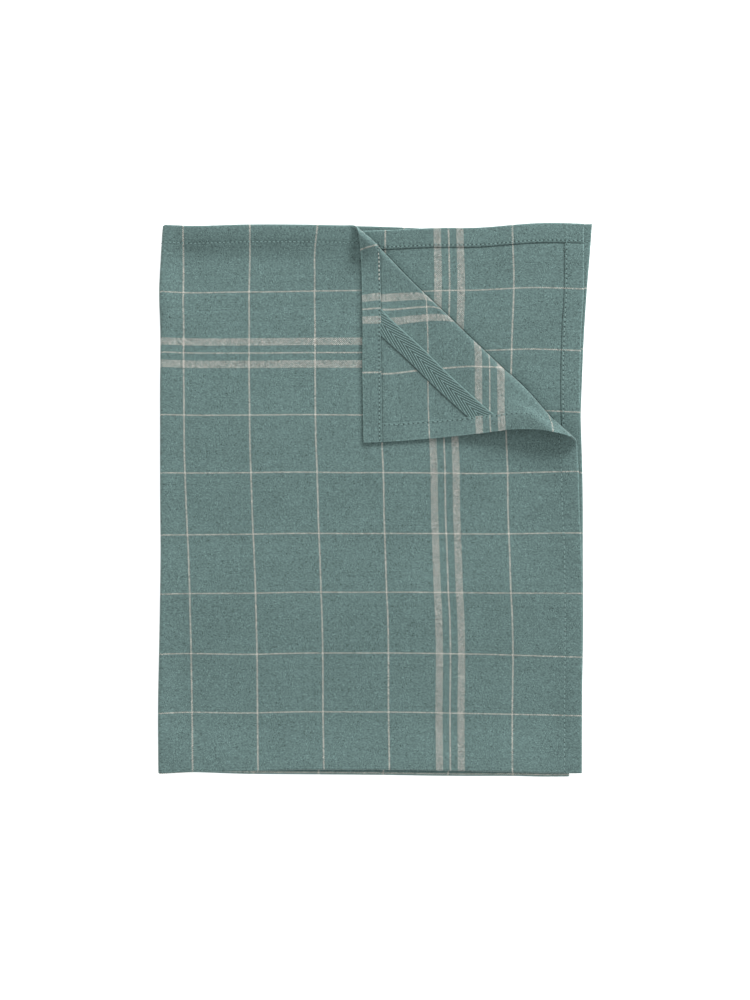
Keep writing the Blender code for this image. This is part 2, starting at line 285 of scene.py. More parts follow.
# Where its middle meets each hem's inner edge, from the cloth's corner, and how far it bows
TAPE_ON_END_HEM = 71.4 * MM
TAPE_ON_SIDE_HEM = 69.1 * MM
TAPE_BOW = 1.2 * MM
TAPE_START = np.array([HALF_WIDTH - TAPE_ON_END_HEM, HALF_LENGTH - HEM_WIDTH])
TAPE_END = np.array([HALF_WIDTH - HEM_WIDTH, HALF_LENGTH - TAPE_ON_SIDE_HEM])
TAPE_LENGTH = float(np.hypot(*(TAPE_END - TAPE_START)))
TAPE_AHEAD = (TAPE_END - TAPE_START) / TAPE_LENGTH
TAPE_ASIDE = np.array([TAPE_AHEAD[1], -TAPE_AHEAD[0]])
# The hems bulge over it, and past it, and flatten towards the cloth's edge from BULGE_IN on
BULGE = 0.35 * MM
BULGE_PAST, BULGE_FALL, BULGE_IN = 1.5 * MM, 2 * MM, 9 * MM

# Its herringbone ribs, the floats along them, and its selvedges, as high as a share of a rib
RIB_ANGLE = math.radians(16.5)
RIB_PITCH = 1.3 * MM
RIB_HEIGHT = 0.12 * MM
FLOAT_PITCH = 1.18 * MM
SELVEDGE = 0.9 * MM
SELVEDGE_HEIGHT = 0.8

# ---------------------------------------------------------------------------------------------
# Sewing: how far apart the stitches are, the thread that shows of each, and its needle hole

Seam = namedtuple("Seam", "pitch dash hole")
SIDE_SEAM = Seam(2.85 * MM, 1.9 * MM, 0.72 * MM)
END_SEAM = Seam(2.5 * MM, 1.6 * MM, 1.0 * MM)
# How near the cloth's corners a seam starts, and how far short of the end hem that covers them
# the side seams stop on the reverse
SEAM_START = 1.5 * MM
SEAM_CLEAR = 1 * MM
# Half the thread's thickness, and how far its middle lies above the cloth; the end seams lie
# deeper on the reverse
THREAD = 0.22 * MM
RISE_FRONT, RISE_BACK = 0.4 * THREAD, 0.15 * THREAD
# The stretch of the turned corner's end seam whose thread is cream
CREAM_FROM, CREAM_TO = HALF_WIDTH - 113.5 * MM, HALF_WIDTH - 97 * MM
# A stitch's rings: where they lie between its ends, -1 and 1, and their share of the thread
STITCH_SIDES = 6
Ring = namedtuple("Ring", "at swell")
STITCH_RINGS = (
    Ring(-1.0, 0.2),
    Ring(-0.86, 0.7),
    Ring(-0.4, 1.0),
    Ring(0.0, 1.0),
    Ring(0.4, 1.0),
    Ring(0.86, 0.7),
    Ring(1.0, 0.2),
)

# ---------------------------------------------------------------------------------------------
# Fineness of the meshes

# Grid lines over a hem, in mm from the cloth's edge: round that edge, and on to the plain cloth
EDGE_LINES = (0, 0.04, 0.14, 0.3, 0.55)
HEM_LINES = (1.5, 4.5, 7.5, 9.2, 9.8, 10.3, 10.8, 11.35, 11.6, 11.75, 12.0, 12.5)
# How far apart they are within FINE_REACH of the turned corner's edges and past it, then on the
# blank's other half; and how many lines go round each fold
FINE_REACH = 137 * MM
Spacing = namedtuple("Spacing", "fine coarse other_fine other_coarse")
ACROSS_LINES = Spacing(1.9 * MM, 2.8 * MM, 9 * MM, 10 * MM)
ALONG_LINES = Spacing(1.9 * MM, 3.0 * MM, 3.2 * MM, 9 * MM)
FOLD_LINES = 15
TAPE_LINES_ALONG, TAPE_LINES_ACROSS = 0.3 * MM, 0.31 * MM

# ---------------------------------------------------------------------------------------------
# From the flat blank to the laid towel


def read(table, column, at):
    """Smooth values of a named column of a table at places along it."""
    places = np.array([row.at for row in table])
    values = np.array([getattr(row, column) for row in table])
    at = np.clip(at, places[0], places[-1])
    last = len(table) - 1
    low = np.maximum(np.arange(last + 1) - 1, 0)
    high = np.minimum(np.arange(last + 1) + 1, last)
    slopes = (values[high] - values[low]) / (places[high] - places[low])
    i = np.clip(np.searchsorted(places, at, side="right") - 1, 0, last - 1)
    span = places[i + 1] - places[i]
    f = (at - places[i]) / span
    value = values[i] * (1 + 2 * f) * (1 - f) ** 2 + values[i + 1] * f * f * (3 - 2 * f)
    value += span * f * (1 - f) * (slopes[i] * (1 - f) - slopes[i + 1] * f)
    return value * MM


def ease(f):
    """Soft step from 0 to 1."""
    f = np.clip(f, 0, 1)
    return f * f * (3 - 2 * f)


def bell(away, reach):
    """Soft bump: 1 at its middle, and almost 0 at twice its reach."""
    return np.exp(-((away / reach) ** 2))


def u_turn(along, offset, radius, arc):
    """Distance in from a half-round fold, height, and how far round it a place is."""
    turn = np.clip(math.pi / 2 * (1 - along / arc), 0, math.pi)
    beyond = np.maximum(np.abs(along) - arc, 0)
    far = radius - (radius + offset) * np.sin(turn) + beyond
    return far, (radius + offset) * np.cos(turn), turn


def spread(table, across, at):
    """Values of a table with stations across the towel, at places across it and along it."""
    stations = Across._fields[1:]
    total = 0
    for k, column in enumerate(stations):
        near = ease(1 - np.abs((len(stations) - 1) * across - k))
        total = total + read(table, column, at) * near
    return total


def lift(x, y, z):
    """Unevenness above the floor, which grows from the lowest layer to the top."""
    across = np.clip((x - LEFT_X) / (RIGHT_X - LEFT_X), 0, 1)
    at = np.clip((y - LOW_Y) / (HIGH_Y - LOW_Y), 0, 1)
    inside = ease((x - LEFT_X) / SLOPE_LEFT) * ease((RIGHT_X - x) / SLOPE_RIGHT)
    inside = inside * ease((y - LOW_Y) / SLOPE_LOW) * ease((HIGH_Y - y - FLAT_HIGH) / SLOPE_HIGH)
    rise = -spread(SAGS, across, at) * inside
    for c in CREASES:
        turn = math.radians(c.angle)
        dx, dy = x / MM - c.x, y / MM - c.y
        along = dx * math.cos(turn) + dy * math.sin(turn)
        aside = dy * math.cos(turn) - dx * math.sin(turn)
        rise = rise + c.height * MM * bell(along, c.along) * bell(aside, c.across)
    return z * (1 + rise / TOP_Z)


def turn_corner(x, y, w, edge):
    """Roll the top layer's corner back over itself; edge is how far its side edge is."""
    away_x, away_y = x - ROLL_START[0], y - ROLL_START[1]
    along = away_x * ROLL_DIR[0] + away_y * ROLL_DIR[1]
    inward = -(away_x * ROLL_OUT[0] + away_y * ROLL_OUT[1])
    at = along / ROLL_LENGTH
    radius, bow, land, run, take, curl = (read(ROLLS, column, at) for column in Roll._fields[1:])
    past = radius + bow - inward
    turn = np.clip(past / radius, 0, math.pi)
    beyond = np.maximum(past - math.pi * radius, 0)
    settled = ease((past - math.pi / 2 * radius) / (math.pi / 2 * radius + SETTLE_RUN))
    short = (2 * bow - (math.pi - 2) * radius - land) * settled
    taken = take * ease(2 * beyond / run)
    inward = radius + bow - (radius - w) * np.sin(turn) + beyond - short - np.minimum(past, 0)
    height = PLAIN_PITCH + (2 * radius - PLAIN_PITCH) * (1 - ease((beyond - taken) / run))
    height = height + curl * ease(1 - edge / CURL_REACH) * ease(beyond / CURL_START) - w
    z = TOP_Z + np.where(beyond > 0, height, radius - (radius - w) * np.cos(turn))
    x = ROLL_START[0] + ROLL_DIR[0] * along - ROLL_OUT[0] * inward
    y = ROLL_START[1] + ROLL_DIR[1] * along - ROLL_OUT[1] * (inward - taken)
    lip = LIP * bell(x - LIP_X, LIP_ACROSS) * bell(y - LIP_Y, LIP_ALONG)
    return x, y, z + lip


def lay(u, v, w):
    """Places on the laid towel of places on the flat blank; w is above its middle."""
    u, v, w = np.broadcast_arrays(u, v, w)
    far_y, pair, end_turn = u_turn(v, w, END_RADIUS, END_ARC)
    far_x, z, side_turn = u_turn(u, pair, SIDE_RADIUS, SIDE_ARC)
    outer = (1 + np.cos(end_turn)) / 2
    upper = (1 + np.cos(side_turn)) / 2
    s = (far_x + END_RADIUS + CLOTH_THICK / 2) / SPAN_X
    t = (far_y + CLOTH_THICK / 2) / SPAN_Y

    def blend(table, at):
        """An edge's place on the top, second or lower layers, as far as each fold has turned."""
        above = outer * read(table, "top", at) + (1 - outer) * read(table, "second", at)
        return upper * above + (1 - upper) * read(table, "under", at)

    left = LEFT_X + read(SIDES, "left", t)
    right = RIGHT_X + blend(SIDES, t)
    low = LOW_Y + upper * read(ENDS, "upper_fold", s) + (1 - upper) * read(ENDS, "lower_fold", s)
    high = HIGH_Y + blend(ENDS, s)
    x = left + s * (right - left)
    y = low + t * (high - low)
    z = z + MIDDLE_Z
    top = (u > SIDE_ARC) & (v > END_ARC)
    rolled = turn_corner(x, y, w, HALF_WIDTH - u)
    x, y, z = (np.where(top, new, old) for new, old in zip(rolled, (x, y, z)))
    return np.stack([x, y, lift(x, y, z)], axis=-1)


def cloth_place(u, v, face):
    """Distances from the near side edge and the near end edge, on the cloth, of blank places.

    The face is 0 for the right side and 1 for the reverse.
    """
    at, across = np.abs(v) / HALF_LENGTH, np.abs(u) / HALF_WIDTH
    fold = read(LIES, "fold", at)
    from_side = np.where(u > 0, fold * (1 - across), fold + (CLOTH_WIDTH - fold) * across)
    top = (u > 0) & (v > 0)
    second = (u > 0) & (v <= 0)
    upright = top * spread(TOP_UPRIGHT, across, at) + second * spread(SECOND_UPRIGHT, across, at)
    level = top * spread(TOP_LEVEL, across, at) + second * spread(SECOND_LEVEL, across, at)
    from_end = HALF_LENGTH - v
    slant = HEM_SLANT * from_end / HEM_WIDTH * (from_end < HEM_EDGE) * (u > 0) * face
    return from_side + upright - slant, from_end + level - UNDER_SHIFT * (u < 0)


def beside_roll(u, v, face):
    """How far outside the roll the layer that it uncovers lies, and FAR on all other cloth."""
    away = lay(u, v, np.zeros(1))[..., :2] - ROLL_START
    along = away @ ROLL_DIR
    outside = away @ ROLL_OUT + read(ROLLS, "bow", along / ROLL_LENGTH) - CLOTH_THICK / 2
    beside = (u > 0) & (v < 0) & (along < ROLL_ENDS) & (face > 0)
    return np.where(beside, outside, FAR)


# ---------------------------------------------------------------------------------------------
# Meshes


def steps(start, end, size):
    """Even places from start up to, and without, end."""
    return np.linspace(start, end, max(round(abs(end - start) / size), 1), endpoint=False)


def closed_sheet(name, across, along, front, back, maps):
    """A closed sheet over a grid of blank places, with places kept as named UV maps.

    A map's two parts are functions of the blank places and of the face, 0 at the front and 1 at
    the back.
    """
    u, v = (g.ravel() for g in np.meshgrid(across, along, indexing="ij"))
    places = np.concatenate([front(u, v), back(u, v)])
    index = np.arange(u.size).reshape(len(across), len(along))
    a, b, c, d = (
        i.ravel() for i in (index[:-1, :-1], index[1:, :-1], index[1:, 1:], index[:-1, 1:])
    )
    faces = [np.stack([b, c, d, a], 1), np.stack([b, a, d, c], 1) + u.size]
    rim = np.concatenate([index[:, 0], index[-1, 1:], index[-2::-1, -1], index[0, -2::-1]])
    faces.append(np.stack([rim[:-1], rim[:-1] + u.size, rim[1:] + u.size, rim[1:]], 1))
    corners = np.concatenate(faces)
    mesh = bpy.data.meshes.new(name)
    mesh.from_pydata(places.tolist(), [], corners.tolist())
    face, spot = np.divmod(corners.ravel(), u.size)
    for label, parts in maps.items():
        both = [np.stack([part(u, v, f) + 0 * u for f in (0, 1)]) for part in parts]
        layer = mesh.uv_layers.new(name=label)
        layer.data.foreach_set("uv", np.stack([p[face, spot] for p in both], 1).ravel())
    mesh.shade_smooth()
    piece = bpy.data.objects.new(name, mesh)
    bpy.context.scene.collection.objects.link(piece)
    return piece


def hem_layers(edge):
    """1 over a hem, less along its stitches, and 0 past it."""
    pressed = PRESSED_SHARE * bell(edge - STITCH_IN, PRESSED_REACH)
    return ease((HEM_WIDTH - edge) / HEM_FALL) * (1 - pressed)


def groove(edge):
    """The furrow along a hem's inner edge."""
    return GROOVE * bell(edge - HEM_WIDTH - CREVICE_OUT, GROOVE_REACH)


def rounded(depth, edge):
    """Height of a face above or below the hem's own middle, rounded off at the cloth's edge."""
    near = np.clip(1 - edge / EDGE_ROUND, 0, 1)
    return depth * np.sqrt(1 - near * near)


def end_inset(u):
    """How far in from the cloth's end its seam lies, at places across the cloth."""
    at = np.clip((u - SEAM_BEND) / SEAM_BEND_RUN, 0, 1)
    return STITCH_IN + SEAM_BEND_IN * ease(at * SEAM_BEND_SOON) - SEAM_BEND_OUT * at


def cloth_back(u, v):
    """Depth of the reverse below the cloth's middle, with its hems and furrows."""
    side_edge, end_edge = HALF_WIDTH - np.abs(u), HALF_LENGTH - np.abs(v)
    side, end = hem_layers(side_edge), hem_layers(end_edge)
    off = (u - TAPE_START[0]) * TAPE_ASIDE[0] + (v - TAPE_START[1]) * TAPE_ASIDE[1]
    over_tape = ease((TAPE_WIDTH / 2 + BULGE_PAST - np.abs(off)) / BULGE_FALL)
    over_tape = over_tape * ease(np.minimum(side_edge, end_edge) / BULGE_IN)
    step = HEM_STEP + BULGE * over_tape
    depth = CLOTH_THICK / 2 + step * np.maximum(side, end) + CORNER_STEP * np.minimum(side, end)
    depth = depth - groove(end_edge) - groove(side_edge) * (1 - end) * (v < 0)
    middle = HEM_STEP / 2
    return middle + rounded(depth - middle, np.minimum(side_edge, end_edge))


def cloth_front(u, v):
    """Height of the right side above the cloth's middle: soft troughs along the sewing."""
    side_edge, end_edge = HALF_WIDTH - np.abs(u), HALF_LENGTH - np.abs(v)
    side = bell(side_edge - STITCH_IN, TROUGH_REACH)
    end = bell(end_edge - STITCH_IN, TROUGH_REACH)
    height = CLOTH_THICK / 2 - TROUGH * np.maximum(side, end)
    middle = HEM_STEP / 2
    return rounded(height + middle, np.minimum(side_edge, end_edge)) - middle


def hem_stations(half):
    """Grid lines over a hem, from the cloth's edge inwards."""
    return half - np.array(EDGE_LINES + HEM_LINES) * MM


def grid(half, arc, spacing):
    """Grid lines across the whole blank: fine near the turned corner, coarse on hidden layers."""
    inner = half - HEM_LINES[-1] * MM
    split = half - FINE_REACH
    lines = [
        hem_stations(half),
        steps(inner, split, spacing.fine)[1:],
        steps(split, arc, spacing.coarse),
        np.linspace(arc, -arc, FOLD_LINES),
        -steps(split, arc, spacing.other_coarse),
        -steps(inner, split, spacing.other_fine)[1:],
        -hem_stations(half),
    ]
    # Rounded to 0.1 micrometre, so that a line that two stretches share is kept once
    return np.unique(np.round(np.concatenate(lines), 7))


def make_towel():
    """The cloth, finely folded."""
    return closed_sheet(
        "towel_cloth",
        grid(HALF_WIDTH, SIDE_ARC, ACROSS_LINES),
        grid(HALF_LENGTH, END_ARC, ALONG_LINES),
        lambda u, v: lay(u, v, cloth_front(u, v)),
        lambda u, v: lay(u, v, -cloth_back(u, v)),
        {
            "cloth": (
                lambda u, v, f: cloth_place(u, v, f)[0],
                lambda u, v, f: cloth_place(u, v, f)[1],
            ),
            "blank": (lambda u, v, f: u, lambda u, v, f: v),
            # Distance from the roll, which places the cloth's painted contact shadow beside it
            "roll": (beside_roll, lambda u, v, f: 0 * u),
            "face": (
                lambda u, v, f: f,
                lambda u, v, f: np.where(v > 0, end_inset(u), STITCH_IN) / MM,
            ),
        },
    )


def tape_reach(s, q):
    """How far along the tape a place is, and how far in from its slanted ends under the hems."""
    f = s / TAPE_LENGTH
    start = -q * TAPE_ASIDE[1] / TAPE_AHEAD[1] - TAPE_TUCK
    end = TAPE_LENGTH - q * TAPE_ASIDE[0] / TAPE_AHEAD[0] + TAPE_TUCK
    return start * (1 - f) + end * f, (end - start) * np.minimum(f, 1 - f)


def make_tape():
    """The hanging loop's tape, on the reverse, its ribs raised and its ends under the hems."""

    def ribs(reach, q):
        """1 on a rib's crest and 0 between ribs; they spread from the tape's middle."""
        away = np.abs(q)
        phase = (away * math.cos(RIB_ANGLE) - reach * math.sin(RIB_ANGLE)) / RIB_PITCH
        crest = 0.5 + 0.5 * np.cos(2 * math.pi * phase)
        return np.where(away > TAPE_WIDTH / 2 - SELVEDGE, SELVEDGE_HEIGHT, crest)

    def place(s, q, top):
        """Laid places of the tape's upper face, where top is 1, or of its lower one."""
        reach, tucked = tape_reach(s, q)
        f = np.clip(reach / TAPE_LENGTH, 0, 1)
        aside = q + TAPE_BOW * 4 * f * (1 - f)
        u = TAPE_START[0] + TAPE_AHEAD[0] * reach + TAPE_ASIDE[0] * aside
        v = TAPE_START[1] + TAPE_AHEAD[1] * reach + TAPE_ASIDE[1] * aside
        edge = ease((TAPE_WIDTH / 2 - np.abs(q)) / TAPE_ROUND)
        thick = TAPE_THICK - RIB_HEIGHT * (1 - ribs(reach, q))
        height = TAPE_LIFT + top * thick * (TAPE_EDGE_SHARE + (1 - TAPE_EDGE_SHARE) * edge)
        height = height * ease(tucked / TAPE_TUCK_RUN) + TAPE_CLEAR
        return lay(u, v, -(CLOTH_THICK / 2 + height))

    def even(start, end, size):
        """Even places from start to end, both of them among them."""
        return np.linspace(start, end, round((end - start) / size) + 1)

    return closed_sheet(
        "hanging_loop_tape",
        even(0, TAPE_LENGTH, TAPE_LINES_ALONG),
        even(-TAPE_WIDTH / 2, TAPE_WIDTH / 2, TAPE_LINES_ACROSS),
        lambda s, q: place(s, q, 1.0),
        lambda s, q: place(s, q, 0.0),
        {"tape": (lambda s, q, f: tape_reach(s, q)[0], lambda s, q, f: q)},
    )


def dashes(centres, runs_along_v, dash, face):
    """Rounded thread dashes lying on the cloth, as places and faces; face is 1 or -1."""
    at, swell = (np.array(column)[:, None] for column in zip(*STITCH_RINGS))
    turns = np.arange(STITCH_SIDES) * 2 * math.pi / STITCH_SIDES
    ahead = at * dash / 2 + 0 * turns
    aside = swell * np.cos(turns) * THREAD
    above = swell * np.sin(turns) * THREAD - (1 - swell) * THREAD
    du, dv = (aside, ahead) if runs_along_v else (ahead, aside)
    u, v = (centres[:, k, None, None] + d for k, d in ((0, du), (1, dv)))
    cover = cloth_front(*centres.T) if face > 0 else cloth_back(*centres.T)
    rise = RISE_FRONT if face > 0 or runs_along_v else RISE_BACK
    places = lay(u, v, face * (cover[:, None, None] + above + rise)).reshape(-1, 3)
    ring = np.arange(STITCH_SIDES)
    first = np.arange(len(at) - 1)[:, None] * STITCH_SIDES
    low, after = first + ring, first + np.roll(ring, -1)
    quads = np.stack([low, after, after + STITCH_SIDES, low + STITCH_SIDES], -1).reshape(-1, 4)
    each = len(at) * STITCH_SIDES
    base = np.arange(len(centres)) * each
    faces = (quads[None] + base[:, None, None]).reshape(-1, 4)
    ends = [base[:, None] + ring[::-1], base[:, None] + each - STITCH_SIDES + ring]
    return places, faces.tolist() + np.concatenate(ends).tolist()


def lattice(reach, pitch):
    """Even places either side of 0, within reach."""
    count = int(reach / pitch)
    return np.arange(-count, count + 1) * pitch


def make_stitches():
    """Lockstitch along all four hems, on both faces of the cloth."""
    groups, pale = [], []
    for face in (1, -1):
        v = lattice(HALF_LENGTH - SEAM_START, SIDE_SEAM.pitch)
        v = v[v < HALF_LENGTH - (0 if face > 0 else HEM_WIDTH + SEAM_CLEAR)]
        for side in (1, -1):
            u = np.full(len(v), side * (HALF_WIDTH - STITCH_IN))
            groups.append(dashes(np.stack([u, v], 1), True, SIDE_SEAM.dash, face))
            pale.append(np.zeros(len(groups[-1][0])))
        u = lattice(HALF_WIDTH - SEAM_START, END_SEAM.pitch)
        for end in (1, -1):
            v = end * (HALF_LENGTH - np.where(end > 0, end_inset(u), STITCH_IN))
            groups.append(dashes(np.stack([u, v], 1), False, END_SEAM.dash, face))
            in_cream = (u > CREAM_FROM) & (u < CREAM_TO) & (end > 0) & (face < 0)
            pale.append(np.repeat(in_cream * 1.0, len(groups[-1][0]) // len(u)))
    places, faces, base = [], [], 0
    for spots, cells in groups:
        places += spots.tolist()
        faces += [[i + base for i in cell] for cell in cells]
        base += len(spots)
    mesh = bpy.data.meshes.new("hem_stitches")
    mesh.from_pydata(places, [], faces)
    mesh.shade_smooth()
    tones = mesh.attributes.new("cream_thread", "FLOAT", "POINT")
    tones.data.foreach_set("value", np.concatenate(pale))
    piece = bpy.data.objects.new("hem_stitches", mesh)
    bpy.context.scene.collection.objects.link(piece)
    return piece


# ---------------------------------------------------------------------------------------------
# Materials

TEAL = (0.112, 0.179, 0.172)
CREAM = (0.372, 0.368, 0.334)
PALE_CREAM = (0.46, 0.44, 0.39)
THREAD_TONE = 1.68

# Yarns and stripes, in mm from the cloth's near edge: how far apart the yarns are, where the first
# thin stripe and the band's middle lie, where the other thin stripes start, how far apart they are
# and where they end, and half a thin stripe's width
Weave = namedtuple("Weave", "pitch first band repeat_from repeat repeat_to thin")
WARP = Weave(0.6085, 42.08, 79.2, 115.71, 38.94, 480, 0.48)
WEFT = Weave(0.5578, 40.04, 76.3, 112.0, 35.7, 630, 0.38)
# The band's thick stripes lie on both sides of its middle, from THICK_FROM to THICK_TO
THICK_FROM, THICK_TO = 4.42, 8.65
THIN_SOFT, THICK_SOFT = 0.2, 0.25

# How the two sets of yarns share the surface: the warp's share, how sharply they cross, and how
# unevenly; and how few places are much lighter or darker, as neps
WARP_SHOWS = 0.53
CROSSING_SHARP = 2.6
CROSSING_ODD, CROSSING_MOTTLED = 1.5, 3.4
NEP_RARE = 25.0

# Unevenness of the cloth, as noise: the size of its patches across the warp and along it, in mm,
# how fine it is, and which noise it is
Patches = namedtuple("Patches", "wide long detail seed")
MOTTLE = Patches(0.9, 0.9, 1.0, 11.3)
SLUBS_OF_WARP = Patches(0.9, 11.0, 2.0, 3.1)
SLUBS_OF_WEFT = Patches(9.0, 0.9, 2.0, 7.7)
SMALL_PATCHES = Patches(9.0, 5.0, 2.0, 1.3)
CLOUDS = Patches(34.0, 24.0, 2.0, 5.2)
PUCKERS = Patches(6.0, 3.5, 3.0, 9.4)

# Lines painted into the cloth's colour: half their width and how soft their edges are, in mm, and
# how much the first three darken it, as painted shade beside the roll, in the hems' crevices and
# in the needle holes, and how much the others lighten it, as painted highlights on the edges and
# folds
Line = namedtuple("Line", "half soft tone")
ROLL_CONTACT_SHADOW = Line(0.6, 0.7, 0.52)
CREVICE_SHADE = Line(0.24, 0.3, 0.42)
HOLE_SHADE = Line(0.42, 0.3, 0.25)
RIM_HIGHLIGHT = Line(0.8, 0.6, 0.32)
SIDE_FOLD_HIGHLIGHT = Line(2.2, 2.0, 0.12)
END_FOLD_HIGHLIGHT = Line(1.9, 1.2, 0.12)
# What is added to the painted shade of the holes on the reverse, and to the painted highlight on
# the lower pair's end fold
HOLE_SHADE_ON_REVERSE = 0.33
LOWER_END_FOLD_HIGHLIGHT = 0.2
# A side hem's painted crevice shade: on the turned corner, and what is added on the layer that it
# uncovers
SIDE_CREVICE_SHADE, SIDE_CREVICE_SHADE_BELOW = 0.06, 0.36

# The tape's tones, as shares of the teal: ribs, lighter on their crests and darker between them as
# painted light and shade, the floats along them, the two selvedges, the upper one with a painted
# highlight, the grain, in cells a mm, and the dark scallops of its low edge, partly painted shadow
RIB_SHARP = 1.5
BODY_DARK, BODY_RANGE = 0.42, 1.55
FLOAT_MIDDLE, FLOAT_SWING = 0.72, 0.28
SELVEDGE_TONE, SELVEDGE_HIGHLIGHT, SELVEDGE_SOFT = 0.95, 0.3, 0.3
GRAIN_CELLS, GRAIN_DARK, GRAIN_RANGE = 2.0, 0.85, 0.3
SCALLOP_SHADOW = Line(0.4, 0.3, 0.45)
SCALLOP_DEPTH = 0.15

# The thread's unevenness: how much its tone varies, and how finely
THREAD_SWING = 0.5
THREAD_NOISE = 900.0

# The sockets of Blender's Mix node: the factor and the two things mixed
MIX_COLOURS = (0, 6, 7)
MIX_NUMBERS = (0, 2, 3)


class Nodes:
    """Short ways to add and join shader nodes."""

    def __init__(self, name):
        self.material = bpy.data.materials.new(name)
        self.material.use_nodes = True
        self.tree = self.material.node_tree
        self.shader = self.tree.nodes["Principled BSDF"]

    def add(self, kind, **settings):
        """A new node, with its settings."""
        node = self.tree.nodes.new(kind)
        for key, value in settings.items():
            setattr(node, key, value)
        return node

    def join(self, source, socket):
        """Link another node's output to a socket, or set it to a value."""
        if isinstance(source, bpy.types.NodeSocket):
            self.tree.links.new(source, socket)
        else:
            socket.default_value = source

    def math(self, operation, first, second=0.0, third=0.0, clamp=False):
        """What Blender's Math node makes of up to three values."""
        node = self.add("ShaderNodeMath", operation=operation, use_clamp=clamp)
        self.join(first, node.inputs[0])
        self.join(second, node.inputs[1])
        self.join(third, node.inputs[2])
        return node.outputs[0]

    def apart(self, first, second):
        """The distance between two values."""
        return self.math("ABSOLUTE", self.math("SUBTRACT", first, second))

    def places(self, layer, scale=1 / MM):
        """The two parts of a kept map, in mm unless its scale is given."""
        uv = self.add("ShaderNodeUVMap", uv_map=layer)
        parts = self.add("ShaderNodeSeparateXYZ")
        self.join(uv.outputs[0], parts.inputs[0])
        return [self.math("MULTIPLY", parts.outputs[i], scale) for i in (0, 1)]

    def sum(self, *terms):
        """The sum of pairs of a value and its weight."""
        total = 0.0
        for value, weight in terms:
            total = self.math("MULTIPLY_ADD", value, weight, total)
        return total

    def centred(self, value):
        """A value from 0 to 1, moved to lie about 0."""
        return self.math("SUBTRACT", value, 0.5)

    def random(self, x, y, seed):
        """White noise on a grid of cells."""
        place = self.add("ShaderNodeCombineXYZ")
        self.join(self.math("FLOOR", x), place.inputs[0])
        self.join(self.math("FLOOR", y), place.inputs[1])
        place.inputs[2].default_value = seed
        noise = self.add("ShaderNodeTexWhiteNoise", noise_dimensions="3D")
        self.join(place.outputs[0], noise.inputs["Vector"])
        return noise.outputs["Value"]

    def within(self, distance, half, soft):
        """1 where a distance is under half, falling to 0 over soft."""
        node = self.add("ShaderNodeMapRange", interpolation_type="SMOOTHSTEP")
        self.join(distance, node.inputs["Value"])
        node.inputs["From Min"].default_value = half - soft / 2
        node.inputs["From Max"].default_value = half + soft / 2
        node.inputs["To Min"].default_value = 1.0
        node.inputs["To Max"].default_value = 0.0
        return node.outputs["Result"]

    def noise(self, x, y, patches):
        """Smooth noise with patches of a size."""
        place = self.add("ShaderNodeCombineXYZ")
        self.join(self.math("MULTIPLY", x, 1 / patches.wide), place.inputs[0])
        self.join(self.math("MULTIPLY", y, 1 / patches.long), place.inputs[1])
        place.inputs[2].default_value = patches.seed
        noise = self.add("ShaderNodeTexNoise")
        noise.inputs["Scale"].default_value = 1.0
        noise.inputs["Detail"].default_value = patches.detail
        self.join(place.outputs[0], noise.inputs["Vector"])
        return noise.outputs["Fac"]

    def mix(self, factor, first, second):
        """The first colour where the factor is 0, and the second where it is 1."""
        node = self.add("ShaderNodeMix", data_type="RGBA")
        for value, socket in zip((factor, first, second), MIX_COLOURS):
            if isinstance(value, tuple):
                value = (*value, 1.0)
            self.join(value, node.inputs[socket])
        return node.outputs[2]

    def mix_numbers(self, factor, first, second):
        """The first number where the factor is 0, and the second where it is 1."""
        node = self.add("ShaderNodeMix", data_type="FLOAT")
        for value, socket in zip((factor, first, second), MIX_NUMBERS):
            self.join(value, node.inputs[socket])
        return node.outputs[0]

    def paint(self, colour, shade):
        """Make the surface a colour times a number."""
        node = self.add("ShaderNodeVectorMath", operation="SCALE")
        self.join(colour, node.inputs[0])
        self.join(shade, node.inputs["Scale"])
        self.join(node.outputs[0], self.shader.inputs["Base Color"])

    def relief(self, height, strength, distance):
        """Bump from a height, which is in units of a distance."""
        bump = self.add("ShaderNodeBump")
        bump.inputs["Strength"].default_value = strength
        bump.inputs["Distance"].default_value = distance
        self.join(height, bump.inputs["Height"])
        self.join(bump.outputs[0], self.shader.inputs["Normal"])

    def finish_fabric(self):
        """Matt cotton with a little sheen."""
        self.shader.inputs["Roughness"].default_value = 0.92
        self.shader.inputs["Specular IOR Level"].default_value = 0.25
        self.shader.inputs["Sheen Weight"].default_value = 0.5
        self.shader.inputs["Sheen Roughness"].default_value = 0.35


def stripes(n, place, weave):
    """Colour of the yarns at a place across the cloth, teal or one of two creams."""
    thin = 0.0
    for centre in (weave.first, weave.band):
        distance = n.apart(place, centre)
        thin = n.math("ADD", thin, n.within(distance, weave.thin, THIN_SOFT))
    distance = n.apart(n.apart(place, weave.band), (THICK_FROM + THICK_TO) / 2)
    thick = n.within(distance, (THICK_TO - THICK_FROM) / 2, THICK_SOFT)
    # Every repeat has its stripe in its middle
    shifted = n.math("ADD", place, weave.repeat / 2 - weave.repeat_from)
    cycle = n.math("FLOORED_MODULO", shifted, weave.repeat)
    near = n.within(n.apart(cycle, weave.repeat / 2), weave.thin, THIN_SOFT)
    repeated = n.math("MULTIPLY", near, n.math("GREATER_THAN", shifted, 0.0))
    repeated = n.math("MULTIPLY", repeated, n.math("LESS_THAN", place, weave.repeat_to))
    thin = n.math("ADD", thin, repeated, clamp=True)
    return n.mix(thin, n.mix(thick, TEAL, CREAM), PALE_CREAM)


